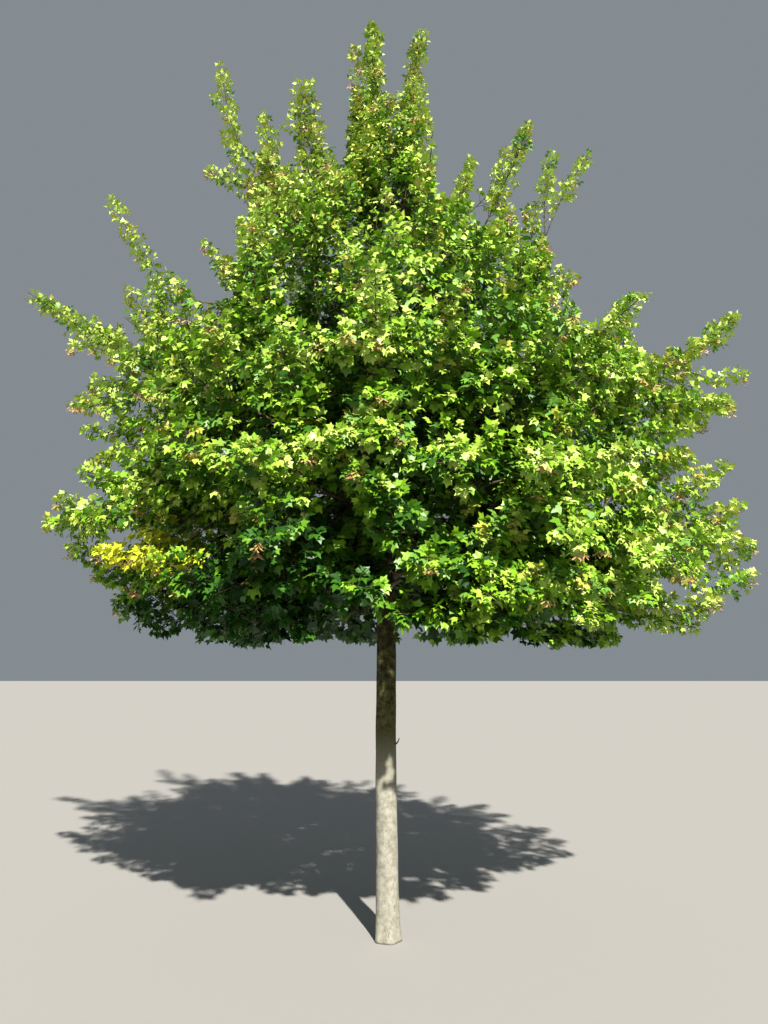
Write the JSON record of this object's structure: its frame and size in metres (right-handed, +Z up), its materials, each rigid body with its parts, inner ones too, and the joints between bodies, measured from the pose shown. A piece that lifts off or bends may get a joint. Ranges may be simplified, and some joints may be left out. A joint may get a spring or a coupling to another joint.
{
  "type": "young maple tree",
  "caption": "Young maple in full summer leaf: straight clear trunk, dense broad crown with upright spires at the top.",
  "frame": {"origin": "middle of the flat cut of the trunk at ground level", "axes": "+Z up the trunk; +Y from the side seen in the picture towards the back; +X to the right in the picture"},
  "size_m": [4.3861, 3.6054, 5.5044],
  "materials": {
    "bark": "rough pale grey-beige bark with fine cracks",
    "bough_bark": "smoother brown-green bark of young wood",
    "leaves": "satin green leaves, thin and flexible",
    "keys": "papery tan-pink winged keys"
  },
  "bodies": {
    "root": {"bough_high_1": "bough_bark", "bough_high_2": "bough_bark", "bough_high_3": "bough_bark", "bough_high_4": "bough_bark", "bough_high_5": "bough_bark", "bough_low_1": "bough_bark", "bough_low_2": "bough_bark", "bough_low_3": "bough_bark", "bough_low_4": "bough_bark", "bough_low_5": "bough_bark", "bough_low_6": "bough_bark", "bough_low_7": "bough_bark", "bough_middle_1": "bough_bark", "bough_middle_2": "bough_bark", "bough_middle_3": "bough_bark", "bough_middle_4": "bough_bark", "bough_middle_5": "bough_bark", "bough_middle_6": "bough_bark", "bough_middle_7": "bough_bark", "bough_middle_8": "bough_bark", "bough_skirt_1": "bough_bark", "bough_skirt_2": "bough_bark", "bough_skirt_3": "bough_bark", "bough_skirt_4": "bough_bark", "bough_skirt_5": "bough_bark", "bough_skirt_6": "bough_bark", "foliage_high_1": "leaves", "foliage_high_2": "leaves", "foliage_high_3": "leaves", "foliage_high_4": "leaves", "foliage_high_5": "leaves", "foliage_leader_1": "leaves", "foliage_leader_2": "leaves", "foliage_low_1": "leaves", "foliage_low_2": "leaves", "foliage_low_3": "leaves", "foliage_low_4": "leaves", "foliage_low_5": "leaves", "foliage_low_6": "leaves", "foliage_low_7": "leaves", "foliage_middle_1": "leaves", "foliage_middle_2": "leaves", "foliage_middle_3": "leaves", "foliage_middle_4": "leaves", "foliage_middle_5": "leaves", "foliage_middle_6": "leaves", "foliage_middle_7": "leaves", "foliage_middle_8": "leaves", "foliage_skirt_1": "leaves", "foliage_skirt_2": "leaves", "foliage_skirt_3": "leaves", "foliage_skirt_4": "leaves", "foliage_skirt_5": "leaves", "foliage_skirt_6": "leaves", "foliage_top_1": "leaves", "foliage_top_2": "leaves", "foliage_top_3": "leaves", "foliage_top_4": "leaves", "trunk": "bark"}
  },
  "joints": []
}
